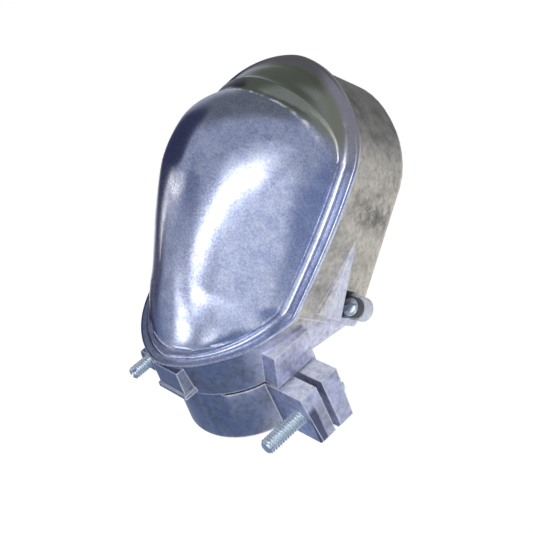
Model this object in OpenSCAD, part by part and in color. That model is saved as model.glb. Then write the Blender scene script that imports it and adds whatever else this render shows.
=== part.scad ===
// Service entrance weatherhead, clamp-on pattern: a die-cast base with a split conduit collar,
// a domed cap, a moulded insulator plate and the screws that hold them.
// +Z runs up the conduit axis, the origin is the centre of the collar's bottom face,
// the wires leave towards -Y and the clamp ears stand out to -X.

/* [Conduit collar] */
// Bore that takes the conduit
conduit_bore = 48.6; // [48.4:0.1:49]
// Wall of the collar
collar_wall = 3.7; // [3:0.1:4.5]
// Height of the clamp band below the slit
band_h = 22.6; // [20:0.2:26]
// Height of the slit above the clamp band
slit_h = 1.6; // [1.2:0.1:2]
// Depth of the conduit socket up to its stop
socket_h = 30; // [28:0.5:31]
// Opening through the conduit stop
stop_bore = 42; // [38:0.5:43]

/* [Clamp ears] */
// Reach of the ears from the axis at their top
ear_reach = 45.5; // [44:0.5:50]
// Extra reach of the ears at their foot
ear_flare = 3.4; // [0:0.2:4]
// Thickness of each ear at its top
ear_t = 8.4; // [7:0.2:10]
// Gap between the two ears
ear_gap = 2.9; // [2:0.1:4]
// Diameter of the clamp screw
clamp_d = 6.35; // [5.5:0.05:6.5]
// Distance of the clamp screw from the ends of the ears
clamp_in = 5.5; // [5:0.1:7]
// Length of the clamp screw under its head
clamp_len = 36; // [30:1:40]

/* [Hood] */
// Half width of the rim at its widest
rim_half = 44.2; // [43:0.1:48]
// Half width of the rim at the corner above the collar
corner_half = 37.8; // [36:0.1:40]
// Distance along the rim from the corner to its widest place
rim_widest = 57; // [50:1:62]
// Distance along the rim from the corner to its front
rim_len = 93.5; // [90:0.5:100]
// Reach of the rim behind the corner
rim_back = 39.5; // [39:0.5:43]
// Depth of the hood's walls under the rim
hood_depth = 35; // [33:0.5:37]
// Half width of the hood at its lip
lip_half = 38; // [37.5:0.1:39]
// Wall of the castings
wall = 3; // [2.5:0.1:3.5]
// Height of the dome over the rim plane
dome_h = 42; // [36:1:46]
// Width of the flat flange round the cap
flange_w = 5.5; // [4.5:0.1:6.5]
// Thickness of the cap's flange
flange_t = 2.4; // [2:0.1:3]

/* [Insulator] */
// Thickness of the insulator plate
plate_t = 3; // [2.5:0.1:3.2]
// Diameter of the large conductor holes
wire_d = 19; // [16:0.5:20]
// Diameter of the small conductor hole
ground_d = 12.7; // [10:0.1:14]
// Diameter of the insulator screws
side_screw_d = 4.2; // [3.8:0.1:4.6]

/* [Hidden] */
$fn = 72;

run_fit = 0.05;              // radial clearance of a screw that turns in its hole
collar_r = conduit_bore / 2 + collar_wall;
neck_r = collar_r + 0.8;
ear_root = 24.6;             // the ears start inside the collar's wall
ear_draft = 4;
clamp_x = ear_reach - clamp_in;
clamp_head_r = 4.75;
clamp_head_t = 3.8;
clamp_hole = ear_gap / 2 + ear_t + 1; // half length of the cut through both ears
head_y = ear_gap / 2 + ear_t - 1.15;  // the clamp screw's head lies on a spot face
neck_z = band_h + slit_h;
corner_y = 6;                // the rim's corner line lies ahead of the conduit axis
corner_z = 47;
hood_tilt = 45;              // the rim and the wire opening rise forward at this angle
back_drop = 9.6;             // the rim behind the corner line falls backward
rim_inset = 1.8;             // the cap's flange overhangs the base by this much
lip_extra = -1.5;            // the lip ends this much further along than the rim
neck_half = 34;              // half width of the neck where it meets the lip
hood_from = 4.5;             // start of the wire opening ahead of the corner line
ledge_top = 26;              // depth of the insulator's seat under the rim
ledge_t = 2.5;
ledge_w = 2.6;
lug_u = 8.5;                 // insulator screws, ahead of the corner line
lug_out = 3.2;               // and outside the hood's wall
lug_r = 4.7;
lug_t = 4.6;
pocket_r = 6;
pocket_top = 18;
rib_out = 6.2;               // side ribs, outside the hood's wall at their lower end
rib_foot = 3.6;              // from this far ahead of the corner line
rib_u = 32;                  // to this far at their tips
rib_depth = 16.6;            // depth of their lower edge under the rim
rib_h = 7.2;
pad_out = 34.5;              // pad over the clamp ears, from the axis
pad_half = 9.9;
pad_h = 14;
heel_half = 7.5;             // flat boss at the back of the neck
heel_out = 33;
heel_h = 12.4;
heel_lip = 0.8;
seat_fit = 0.4;              // room round the insulator and the cap's tongue
ear_half = lug_r - 0.8;      // half width of the insulator's ears
ear_l = lug_out + wall + 5;  // their length, from inside the hood to the screw
side_head_r = 3.5;
side_head_t = 2.2;
set_d = 5;
set_x = 10.5;
set_z = 37;
boss_y = 22;                 // boss round the set screw
boss_l = 10.4;
set_tip_y = 41;
tongue_y = 21.5;             // rear face of the cap's tongue
tongue_w = 10;
tongue_t = 3;
tongue_drop = 3;             // the tongue ends this much under the set screw
crest_u = 40;                // the dome is highest here, ahead of the corner line
dome_front = 79.6;           // end of the dome ahead of the corner line
dome_back = (rim_back - flange_w) * cos(hood_tilt - back_drop);
dome_round = 1.85;           // exponent of the dome's sections, 2 for an oval
rim_round = 1.75;            // exponent of the rim's ends
foot_round = 2.4;            // radius of the fillet round the dome's foot
arch_n = 22;                 // spans across the dome
brim_w = 5;                  // width of the flange outside the brim
brim_lift = 3.2;             // rise of the flange's inner edge at the front
brim_h = 18.4;               // height of the brim between the flange and the dome
cap_wall = 2.2;
tab_t = 2.4;                 // tabs that centre the cap in the base
tab_fit = 0.9;               // room between the tabs and the hood's wall
tab_in = rim_inset + wall + tab_fit + tab_t / 2;
tab_l = 10;
tab_h = 5;
hook_w = 16;
hook_t = 3;
hook_u = rim_len - tab_in - tab_t / 2;
wire_holes = [[-19, 42], [19, 42], [0, 66]];
ground_u = 24;
silver = [0.74, 0.75, 0.78];
polished = [0.72, 0.73, 0.80];
fibre = [0.16, 0.15, 0.15];
zinc = [0.80, 0.82, 0.84];

// Local frame of the hood: -Y runs forward and up along the rim, +Z out through the dome
module in_hood() translate([0, -corner_y, corner_z]) rotate([-hood_tilt, 0, 0]) children();

// Local frame of the rim's back part: +Y runs backward along it
module in_back() translate([0, -corner_y, corner_z]) rotate([-back_drop, 0, 0]) children();

// Half width of a rounded end, from 1 at its start to 0 at its tip
function end_oval(t) = pow(max(0, 1 - pow(min(1, max(0, t)), rim_round)), 1 / rim_round);

// Half width of an outline at the distance u ahead of the corner line: hc at the corner,
// hw at the widest place and an oval end at the length len
function half_at(u, hw, hc, len) = u < rim_widest
    ? hc + (hw - hc) * sin(90 * max(u, 0) / rim_widest)
    : hw * end_oval((u - rim_widest) / (len - rim_widest));

// Distances along the rim, closer together towards the front, where the outline turns
function stations(u0, len) = concat(
    [for (i = [0:5]) u0 + (rim_widest - u0) * i / 6],
    [for (i = [0:12]) rim_widest + (len - rim_widest) * sin(90 * i / 12)]);

// Egg-shaped outline, from the distance u0 ahead of the corner line
module egg(hw, hc, len, u0 = 0) {
    us = stations(u0, len);
    n = len(us);
    polygon(concat([for (i = [0:n - 1]) [half_at(us[i], hw, hc, len), -us[i]]],
                   [for (i = [n - 2:-1:0]) [-half_at(us[i], hw, hc, len), -us[i]]]));
}

// Outline of the hood's outside at the depth h under the rim, drawn in by d
module hood_outline(h, d = 0, u0 = 0) {
    f = h / hood_depth;
    egg(rim_half - rim_inset + (lip_half - rim_half + rim_inset) * f - d,
        corner_half - rim_inset + (lip_half - corner_half + rim_inset) * f - d,
        rim_len - rim_inset + (lip_extra + rim_inset) * f - d, u0);
}

// Half-oval outline of the rim's back part, drawn in by d
module back_oval(d)
    polygon([for (a = [0:7.5:180]) let (c = cos(a))
             [(corner_half - d) * sign(c) * pow(abs(c), 2 / rim_round),
              (rim_back - d) * pow(sin(a), 2 / rim_round)]]);

// Half width of the hood's outside at the place u and the depth h
function hood_half(u, h) = let (f = h / hood_depth, r = rim_inset)
    half_at(u, rim_half - r + (lip_half - rim_half + r) * f,
            corner_half - r + (lip_half - corner_half + r) * f, rim_len);
lug_x = hood_half(lug_u, ledge_top) + lug_out;

// Slab of the hood outline with its top at the depth h under the rim
module hood_slab(h, t, d = 0, u0 = 0)
    in_hood() translate([0, 0, -h - t]) linear_extrude(t) hood_outline(h, d, u0);

// One clamp ear on the +Y side of the gap, drafted in its reach and its thickness
module ear() difference() {
    translate([0, ear_gap / 2 + ear_t, 0]) rotate([90, 0, 0]) linear_extrude(ear_t)
        polygon([[-ear_root, 0], [-ear_reach - ear_flare + 2, 0], [-ear_reach - ear_flare, 2],
                 [-ear_reach, band_h], [-ear_root, band_h]]);
    translate([-70, ear_gap / 2 + ear_t, band_h]) rotate([-ear_draft, 0, 0]) translate([0, 0, -40])
        cube([70, 10, 41]);
}

// Outside of the neck that joins the collar to the hood
module neck_outside() {
    hull() {
        translate([0, 0, neck_z]) cylinder(r = neck_r, h = 1.2, $fn = 40);
        in_back() translate([0, 0, -0.6]) linear_extrude(0.6) back_oval(rim_inset);
        in_hood() translate([-neck_half, -hood_from, -hood_depth]) cube([2 * neck_half, 3, 1]);
    }
    cylinder(r = collar_r, h = neck_z + 1);
}

// Outside of the hood, from the rim to its rounded lip
module hood_outside() hull() {
    hood_slab(0, 0.5);
    hood_slab(hood_depth - 4, 0.5, 0, 0.8);
    hood_slab(hood_depth - 0.5, 0.5, 1.4, 1.6);
}

// Hollow of the hood, open at the rim and at the lip
module hood_hollow() hull() {
    hood_slab(-0.5, 0.5, wall, hood_from);
    hood_slab(hood_depth, 0.5, wall, hood_from);
}

// Hollow of the neck over the conduit stop, where the wires turn forward
module neck_hollow() hull() {
    translate([0, 0, socket_h + wall]) cylinder(d = stop_bore, h = 0.5, $fn = 32);
    in_back() linear_extrude(0.5) back_oval(rim_inset + wall);
    in_hood() translate([-28, -hood_from - 6, -ledge_top + plate_t + 1]) cube([56, 6, ledge_top - plate_t]);
}

// Flat boss at the back of the neck
module back_boss() {
    translate([-heel_half, 20, neck_z + slit_h]) cube([2 * heel_half, heel_out - 20, heel_h]);
    translate([-heel_half - heel_lip, 20, neck_z + slit_h])
        cube([2 * (heel_half + heel_lip), heel_out - 20 + heel_lip, 2]);
}

// Flat pad over the clamp ears, where the neck carries the pull of the clamp
module ear_pad() hull() {
    translate([-pad_out, -pad_half, neck_z]) cube([14, 2 * pad_half, 1]);
    translate([-pad_out - 2.7, -pad_half + 0.7, neck_z + pad_h]) cube([10, 2 * pad_half - 1.4, 1]);
}

// Tapered rib that stiffens the hood's wall over the insulator lug, on the side s
module side_rib(s) in_hood() hull() {
    translate([s * (hood_half(rib_foot, rib_depth - rib_h / 2) + rib_out / 2 - 1) - rib_out / 2 - 1,
               -rib_foot, -rib_depth]) cube([rib_out + 2, 0.6, rib_h]);
    translate([s * hood_half(rib_u, 15) - 1, -rib_u, -15]) cube([2, 0.4, 0.8]);
}

// Lug under the insulator's ear, on the side s
module lug(s) in_hood() {
    translate([s * lug_x, -lug_u, -ledge_top - lug_t]) cylinder(r = lug_r, h = lug_t);
    translate([s * (lug_x - 3) - 3, -lug_u - lug_r, -ledge_top - lug_t]) cube([6, 2 * lug_r, lug_t]);
}

// Cutter for the pocket over the lug, on the side s
module pocket(s) in_hood() {
    translate([s * lug_x, -lug_u, -ledge_top]) cylinder(r = pocket_r, h = ledge_top - pocket_top);
}

// The base: collar, ears, neck and hood in one casting
module base_casting() color(silver) difference() {
    union() {
        difference() {
            union() {
                neck_outside();
                hood_outside();
                back_boss();
                ear_pad();
                ear();
                mirror([0, 1, 0]) ear();
                for (s = [-1, 1]) side_rib(s);
                translate([set_x, boss_y, set_z]) rotate([-90, 0, 0]) cylinder(d = set_d + 5, h = boss_l);
            }
            in_back() translate([set_x - set_d - 1, boss_y, 0])
                cube([2 * set_d + 2, boss_l + 2 * corner_y, set_d]);
            hood_hollow();
            neck_hollow();
            for (s = [-1, 1]) pocket(s);
        }
        in_hood() translate([0, 0, -ledge_top - ledge_t]) linear_extrude(ledge_t) difference() {
            hood_outline(ledge_top, wall - 1, hood_from - 1);
            hood_outline(ledge_top, wall + ledge_w, hood_from + ledge_w);
        }
        for (s = [-1, 1]) lug(s);
    }
    translate([0, 0, -1]) cylinder(d = conduit_bore, h = socket_h + 1);
    translate([0, 0, socket_h - 1]) cylinder(d = stop_bore, h = wall + 2);
    translate([-60, -ear_gap / 2, -1]) cube([60, ear_gap, neck_z + 1]);
    translate([-60, -40, band_h]) cube([44, 80, slit_h]);
    translate([-clamp_x, -clamp_hole, band_h / 2]) rotate([-90, 0, 0])
        cylinder(d = clamp_d + 2 * run_fit, h = 2 * clamp_hole);
    translate([set_x, tongue_y, set_z]) rotate([-90, 0, 0])
        cylinder(d = set_d + 2 * run_fit, h = 15);
    translate([-clamp_x, -head_y, band_h / 2]) rotate([90, 0, 0]) cylinder(r = clamp_head_r + 0.5, h = 4);
    translate([set_x - tongue_w / 2 - seat_fit, 10, set_z - tongue_drop - seat_fit])
        cube([tongue_w + 2 * seat_fit, tongue_y - 10 + seat_fit, tongue_w]);
    for (s = [-1, 1]) in_hood()
        translate([s * lug_x - (s + 1) / 2 * ear_l, -lug_u - ear_half - seat_fit, -ledge_top])
            cube([ear_l, 2 * (ear_half + seat_fit), plate_t + seat_fit]);
    for (s = [-1, 1]) in_hood() translate([s * lug_x, -lug_u, -ledge_top - lug_t - 1])
        cylinder(d = side_screw_d + 2 * run_fit, h = lug_t + 2);
}

// Shape of the cap over the rim plane, at the distance u ahead of the corner line.
// Behind the corner line the rim itself rises out of that plane.
function rim_rise(u) = max(0, -u) * tan(hood_tilt - back_drop);
function back_half(u, hc, reach) = hc * end_oval(-u / (reach * cos(hood_tilt - back_drop)));
function flange_half(u) = u < 0 ? back_half(u, corner_half, rim_back)
                                : half_at(u, rim_half, corner_half, rim_len);
function dome_half(u) = u < 0 ? back_half(u, corner_half - flange_w, rim_back - flange_w)
    : half_at(u, rim_half - flange_w, corner_half - flange_w, rim_len - flange_w);

// Height of the dome along its crest: a long rise from the back and a round front
function crest(u) = u < crest_u
    ? dome_h - (dome_h - rim_rise(-dome_back) - flange_t) * pow((crest_u - u) / (crest_u + dome_back), 1.3)
    : dome_h * sqrt(max(0, 1 - pow((u - crest_u) / (dome_front - crest_u), 2)));

// Half width of the dome's foot, which ends short of the rim at the front
function foot_half(u) = u < rim_widest ? dome_half(u)
    : (rim_half - flange_w) * sqrt(max(0, 1 - pow((u - rim_widest) / (dome_front - rim_widest), 2)));

// Half width of the flange's inner edge, where the brim starts to rise
function crease_half(u) = half_at(u, rim_half - brim_w, corner_half - brim_w, rim_len - brim_w);

// Distance of the place (x, u) outside the dome's foot
function foot_gap(x, u) = u < 0
    ? (pow(pow(-u / ((rim_back - flange_w) * cos(hood_tilt - back_drop)), rim_round)
           + pow(abs(x) / dome_half(0), rim_round), 1 / rim_round) - 1) * dome_half(0)
    : u < rim_widest ? abs(x) - foot_half(u)
    : (norm([(u - rim_widest) / (dome_front - rim_widest), x / dome_half(rim_widest)]) - 1)
      * (dome_front - rim_widest);

// Fillet between the dome's foot and the flange, at the distance d outside the foot
function foot_fillet(d) = d > foot_round ? 0
    : foot_round - sqrt(pow(foot_round, 2) - pow(foot_round - max(0, d), 2));

// Height of the dome and of the brim ahead of it, at the place (x, u)
function dome_at(x, u) = abs(x) >= foot_half(u) ? 0
    : (crest(u) - rim_rise(u)) * pow(1 - pow(abs(x) / foot_half(u), dome_round), 1 / dome_round);
function brim_at(x, u) =
    let (a = (u - rim_widest) / (rim_len - brim_w - rim_widest), b = x / (rim_half - brim_w),
         r = norm([a, b]), edge = (rim_len - rim_widest) / (rim_len - brim_w - rim_widest),
         front = a <= 0 ? 0 : a / r)
    flange_t + brim_lift * front * max(0, min(1, (edge - r) / (edge - 1)))
             + brim_h * sqrt(front) * pow(max(0, 1 - r * r), 0.8);
function cap_at(x, u) = max(dome_at(x, u), brim_at(x, u) + foot_fillet(foot_gap(x, u)));

// One ring of the cap's section at u: flange, brim, dome from side to side, then the inside
function cap_ring(u) =
    let (rim = max(flange_half(u), 1.6), z = rim_rise(u),
         out = max(min(foot_half(u), 0.88 * rim), 0.45 * rim),
         fillet = min(foot_round, 0.08 * rim),
         fold = max(u < 0 ? 0 : crease_half(u), out + 1.15 * fillet, 0.7 * rim),
         side = [(rim + fold) / 2, fold, (fold + out + fillet) / 2, out + fillet, out + 0.35 * fillet],
         arch = [for (i = [0:arch_n]) let (c = cos(180 * i / arch_n))
                 out * sign(c) * pow(abs(c), 2 / dome_round)])
    concat([[rim, -u, z], [rim, -u, z + flange_t]],
           [for (x = side) [x, -u, z + cap_at(x, u)]],
           [for (x = arch) [x, -u, z + cap_at(x, u)]],
           [for (i = [4:-1:0]) [-side[i], -u, z + cap_at(side[i], u)]],
           [[-rim, -u, z + flange_t], [-rim, -u, z]],
           [for (i = [arch_n:-1:0]) let (x = arch[i])
            [x * max(out - cap_wall, 0.4) / out, -u,
             z + max(dome_at(x, u) - cap_wall, brim_at(x, u) - cap_wall - 0.2, 0)]]);

// The cap: a pillow-shaped dome with a brim at the front, on a flat flange bent along the rim
module cap_shell() {
    reach = rim_back * cos(hood_tilt - back_drop);
    us = concat([for (i = [10:-1:1]) -reach * sin(9 * i)], [for (i = [0:6]) rim_widest * i / 7],
                [for (i = [0:9]) rim_widest + (dome_front - rim_widest) * sin(90 * i / 9)],
                [for (i = [1:3]) dome_front + (rim_len - brim_w - dome_front) * i / 3],
                [for (i = [1:4]) rim_len - brim_w + brim_w * sin(90 * i / 4)]);
    rings = [for (u = us) cap_ring(u)];
    m = len(rings[0]);
    n = len(rings);
    polyhedron(
        points = [for (r = rings) for (p = r) p],
        faces = concat(
            [[for (j = [0:m - 1]) j]],
            [[for (j = [m - 1:-1:0]) (n - 1) * m + j]],
            [for (i = [0:n - 2]) for (j = [0:m - 1]) let (k = (j + 1) % m, a = i * m, b = a + m) each
             [[a + j, b + j, a + k], [b + j, b + k, a + k]]]),
        convexity = 6);
}

// Tapered tab under the rim at the distance u, on the side s, that centres the cap in the base
module register_tab(u, s)
    in_hood() translate([s * (half_at(u, rim_half, corner_half, rim_len) - tab_in), -u, 0]) hull() {
        translate([-tab_t / 2, -tab_l / 2, -1]) cube([tab_t, tab_l, 1 + flange_t / 2]);
        translate([-tab_t * 0.33, -tab_l * 0.35, -tab_h]) cube([tab_t * 0.66, tab_l * 0.7, 1]);
    }

// Tongue behind the set screw, up to the cap's flange
module tongue() translate([set_x, tongue_y - tongue_t, set_z]) {
    hull() {
        translate([-tongue_w / 2, 0, -tongue_drop]) cube([tongue_w, tongue_t, tongue_drop + 7]);
        translate([-tongue_w * 0.4, 0, 8]) cube([tongue_w * 0.8, tongue_t, 1.5]);
    }
    hull() {
        translate([-tongue_w * 0.4, 0, 7]) cube([tongue_w * 0.8, tongue_t, 2.5]);
        translate([-tongue_w * 0.4, tongue_t + 1, 7.5]) cube([tongue_w * 0.8, 1.8, 2]);
    }
}

// Tongue, front hook and register tabs
module cap_fixings() {
    tongue();
    in_hood() translate([0, -hook_u, 0]) hull() {
        translate([-hook_w / 2, 0, -1]) cube([hook_w, hook_t, cap_at(hook_w / 2, hook_u) + 0.2]);
        translate([-hook_w * 0.4, hook_t * 0.2, -tab_h]) cube([hook_w * 0.8, hook_t * 0.8, 1]);
    }
    for (f = [0.25, 0.6, 0.95], s = [-1, 1]) register_tab(f * rim_widest, s);
}

module cap() color(polished) {
    in_hood() cap_shell();
    cap_fixings();
}

// Insulator plate on its ledge, with the conductor holes and the two ears that the screws hold
module insulator() color(fibre) in_hood() translate([0, 0, -ledge_top]) difference() {
    union() {
        linear_extrude(plate_t) hood_outline(ledge_top, wall + 0.35, hood_from + 0.35);
        for (s = [-1, 1]) translate([s * lug_x, -lug_u, 0]) {
            cylinder(r = ear_half, h = plate_t);
            translate([-(s + 1) / 2 * ear_l, -ear_half, 0]) cube([ear_l, 2 * ear_half, plate_t]);
        }
    }
    for (p = wire_holes) translate([p[0], -p[1], -1]) cylinder(d = wire_d, h = plate_t + 2);
    translate([0, -ground_u, -1]) cylinder(d = ground_d, h = plate_t + 2);
    for (s = [-1, 1]) translate([s * lug_x, -lug_u, -1]) cylinder(d = side_screw_d + 0.4, h = plate_t + 2);
}

// Clamp screw with a slotted cheese head on the front ear and its end past the back ear
module clamp_screw() color(zinc)
    translate([-clamp_x, -head_y, band_h / 2]) rotate([-90, 0, 0]) difference() {
        union() {
            cylinder(d = clamp_d, h = clamp_len);
            rotate_extrude() polygon([[0, 0], [clamp_head_r, 0], [clamp_head_r, -clamp_head_t + 0.8],
                                      [clamp_head_r - 0.8, -clamp_head_t], [0, -clamp_head_t - 0.5]]);
        }
        translate([-0.8, -10, -clamp_head_t - 2]) cube([1.6, 20, 3.6]);
    }

// Pan-head screw through the insulator's ear into the lug, on the side s
module insulator_screw(s) color(zinc)
    in_hood() translate([s * lug_x, -lug_u, -ledge_top + plate_t]) difference() {
        union() {
            cylinder(r = side_head_r, h = side_head_t);
            translate([0, 0, -plate_t - lug_t - 1.6]) cylinder(d = side_screw_d, h = plate_t + lug_t + 2);
        }
        rotate(35) translate([-0.5, -6, side_head_t - 1.1]) cube([1, 12, 2]);
    }
module insulator_screw_near() insulator_screw(-1);
module insulator_screw_far() insulator_screw(1);

// Set screw through the back of the neck onto the cap's tongue, with a slotted end
module cap_set_screw() color(zinc) translate([set_x, tongue_y, set_z]) rotate([-90, 0, 0]) difference() {
    cylinder(d = set_d, h = set_tip_y - tongue_y);
    translate([-0.4, -5, set_tip_y - tongue_y - 1.4]) cube([0.8, 10, 2]);
}

base_casting();
cap();
insulator();
clamp_screw();
insulator_screw_near();
insulator_screw_far();
cap_set_screw();
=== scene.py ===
import math

import bmesh
import bpy
from bpy.props import FloatProperty, FloatVectorProperty, PointerProperty
from mathutils import Matrix, Quaternion, Vector


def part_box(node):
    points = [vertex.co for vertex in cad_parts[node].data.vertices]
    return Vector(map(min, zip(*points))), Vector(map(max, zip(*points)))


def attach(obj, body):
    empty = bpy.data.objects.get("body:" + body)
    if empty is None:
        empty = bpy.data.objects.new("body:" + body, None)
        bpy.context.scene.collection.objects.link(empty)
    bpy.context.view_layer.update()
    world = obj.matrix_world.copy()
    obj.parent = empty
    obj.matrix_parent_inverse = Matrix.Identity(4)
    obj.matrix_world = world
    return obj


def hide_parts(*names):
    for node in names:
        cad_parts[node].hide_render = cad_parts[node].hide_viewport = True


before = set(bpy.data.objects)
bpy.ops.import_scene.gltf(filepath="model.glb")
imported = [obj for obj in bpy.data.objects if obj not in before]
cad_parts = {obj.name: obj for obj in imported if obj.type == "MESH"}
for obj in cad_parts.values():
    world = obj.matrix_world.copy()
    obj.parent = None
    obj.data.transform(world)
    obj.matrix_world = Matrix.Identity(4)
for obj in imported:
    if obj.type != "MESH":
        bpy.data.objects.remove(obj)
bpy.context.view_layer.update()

bl_info = {
    "name": "Service entrance weatherhead",
    "version": (1, 0, 0),
    "blender": (4, 5, 0),
    "location": "View3D > Sidebar > Weatherhead",
    "description": "Dresses the clamp-on weatherhead: cast base, tumbled cap, insulator and screws",
    "category": "Object",
}

BODY = "base"
MM = 0.001
CORNER = Vector((0, -6, 47)) * MM     # middle of the rim's corner line
MIDDLE = Vector((0, -30, 60)) * MM    # what the lamps and the panels face
HOOD_TILT = math.radians(45)
BACK_DROP = math.radians(9.6)         # slope of the rim behind its corner, below the level
QUARTER = math.pi / 2
WELD = 0.00001
ALONG_Y = (0, 1, 0)

# Tints of the marks on the finishes, and of the painted highlights, shade and reflections
CAP_GRAIN = (0.66, 0.68, 0.84, 1)
CAP_SPECK = (0.22, 0.25, 0.42, 1)
RIM_SHADE = (0.30, 0.29, 0.36, 1)
RIM_WARM = (0.36, 0.32, 0.31, 1)
# painted olive reflection on the cap's brim
BRIM_OLIVE_REFLECTION = (0.29, 0.30, 0.20, 1)
# white of the specks, and of the painted highlights on the dome's foot and on the scratch
CHALK_AND_HIGHLIGHT = (0.92, 0.93, 0.98, 1)
HOOD_OLIVE = (0.10, 0.095, 0.055, 1)
HOOD_PALE = (0.58, 0.57, 0.56, 1)
HOOD_SPECK = (0.10, 0.10, 0.12, 1)
GRIME = (0.16, 0.16, 0.19, 1)
# painted highlight along the casting's edges
EDGE_HIGHLIGHT = (0.86, 0.85, 0.92, 1)
# painted shade on the bevelled strip at the ears' ends
STRIP = (0.07, 0.08, 0.16, 1)
# painted light: pale of the faces drawn as lit
LIT_FACE_PALE = (0.94, 0.95, 1.0, 1)
LIT_FACE_GREY = (0.68, 0.73, 0.92, 1)
ZINC_DARK = (0.42, 0.50, 0.56, 1)
INSULATOR_DARK = (0.05, 0.047, 0.045, 1)

# Places of the marks and of the painted highlights and reflections: ovals in the rim plane are
# centre, half width and half length, in metres
BRIM_EDGE = (0.057, 0.0398, 0.0322)
DOME_FRONT = (0.057, 0.0375, 0.0172)
STAIN = (0.045, 0.022, 0.011)         # on the near side of the hood
STAIN_DEEP = 0.021                    # and this far behind the rim
SPECKS_AT = (0.0006, 0.0, 0.0988)
# the scratch line, which is also a painted highlight
SCRATCH_HIGHLIGHT_X = 0.0068
COLLAR_WAY = (0.0, 0.35, -1.0)        # from the hood down to the collar
EARS_WAY = (-1.0, 0.0, 0.0)           # from the collar out to the clamp ears

# The stage
SQUARE = ((-1, -1), (1, -1), (1, 1), (-1, 1))
FILL = 0.55                           # the world's strength where it is not seen directly
WHITE = (1, 1, 1)
STRIPE = (0.97, 0.92, 0.88)
TENT = (0.46, 0.49, 0.58)             # colour of the tent that the metal mirrors
# Panels that only gloss mirrors: azimuth, elevation, width and height in degrees, colour, strength,
# turn in degrees, distance in metres, and how much of the half width fades out.
CARDS = {
    "halo card": (235, 42, 110, 84, (0.90, 0.93, 1.0), 1.0, 0, 1.15, 1.0),
    "field card": (234, 3, 88, 48, (0.86, 0.90, 1.0), 1.02, 0, 1.1, 0.4),
    "white card": (193, -5, 24, 22, WHITE, 1.5, 0, 0.95, 0.6),
    "main softbox": (227, 35, 50, 38, WHITE, 3.7, 0, 0.9, 0.95),
    "long softbox": (193, 20.5, 62, 9, WHITE, 5.5, -25, 0.88, 0.75),
    "bridge softbox": (209, 27.5, 34, 14, WHITE, 4.5, -25, 0.87, 0.7),
    "low softbox": (159, 1, 28, 13, WHITE, 3.6, 0, 0.86, 0.8),
    "stripe card": (110, 2, 30, 9, STRIPE, 1.5, -58, 0.86, 0.6),
    "upper stripe card": (131, 17, 42, 9, STRIPE, 1.5, -32, 0.85, 0.6),
    "right card": (288, -20, 66, 50, (0.30, 0.36, 0.52), 1.0, 0, 0.66, 0.4),
    "slate card": (158, 28, 34, 22, (0.20, 0.23, 0.34), 1.0, 0, 0.97, 0.5),
    "left card": (91, 10, 60, 70, (0.045, 0.05, 0.10), 1.0, 0, 0.95, 0.35),
    "low left card": (101, -28, 38, 24, (0.05, 0.05, 0.09), 1.0, 0, 0.6, 0.4),
    "rear card": (40, 34, 80, 78, (0.20, 0.215, 0.22), 1.0, 0, 1.0, 0.6),
    "hood card": (22, -14, 60, 30, (0.26, 0.26, 0.19), 1.0, 0, 0.7, 0.8),
    "low card": (172, -50, 128, 84, (0.19, 0.255, 0.41), 1.0, 0, 0.33, 0.4),
}


def limited(value):
    """A value kept between 0 and 1."""
    return max(0.0, min(1.0, value))


def facing(azimuth, elevation):
    """The direction that an azimuth and an elevation give, in radians."""
    return Vector((math.sin(azimuth) * math.cos(elevation),
                   -math.cos(azimuth) * math.cos(elevation), math.sin(elevation)))


def shown(name, data):
    """A new object of a mesh, lamp or camera, in the scene."""
    thing = bpy.data.objects.new(name, data)
    bpy.context.scene.collection.objects.link(thing)
    return thing


# ---------------------------------------------------------------- sizes and colours

class WeatherheadSizes(bpy.types.PropertyGroup):
    """Sizes of the pieces that are drawn finer here than in the frame"""
    rim_half: FloatProperty(
        name="Rim half width", description="Half width of the rim at its widest",
        default=0.0442, unit="LENGTH")
    corner_half: FloatProperty(
        name="Corner half width", description="Half width of the rim at its corner",
        default=0.0378, unit="LENGTH")
    rim_widest: FloatProperty(
        name="Widest place", description="Where the rim is widest, ahead of its corner",
        default=0.057, unit="LENGTH")
    rim_len: FloatProperty(
        name="Rim length", description="Front end of the rim, ahead of its corner",
        default=0.0935, unit="LENGTH")
    rim_back: FloatProperty(
        name="Rim back", description="Reach of the rim behind its corner",
        default=0.0395, unit="LENGTH")
    dome_height: FloatProperty(
        name="Dome height", description="Height of the dome over the rim",
        default=0.042, unit="LENGTH")
    flange_width: FloatProperty(
        name="Flange width", description="Width of the flange round the dome",
        default=0.0055, unit="LENGTH")
    flange_thickness: FloatProperty(
        name="Flange thickness", description="Thickness of the flange",
        default=0.0024, unit="LENGTH")
    thread_pitch: FloatProperty(
        name="Clamp screw pitch", description="Pitch of the clamp screw's thread",
        default=0.00127, unit="LENGTH")


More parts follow.
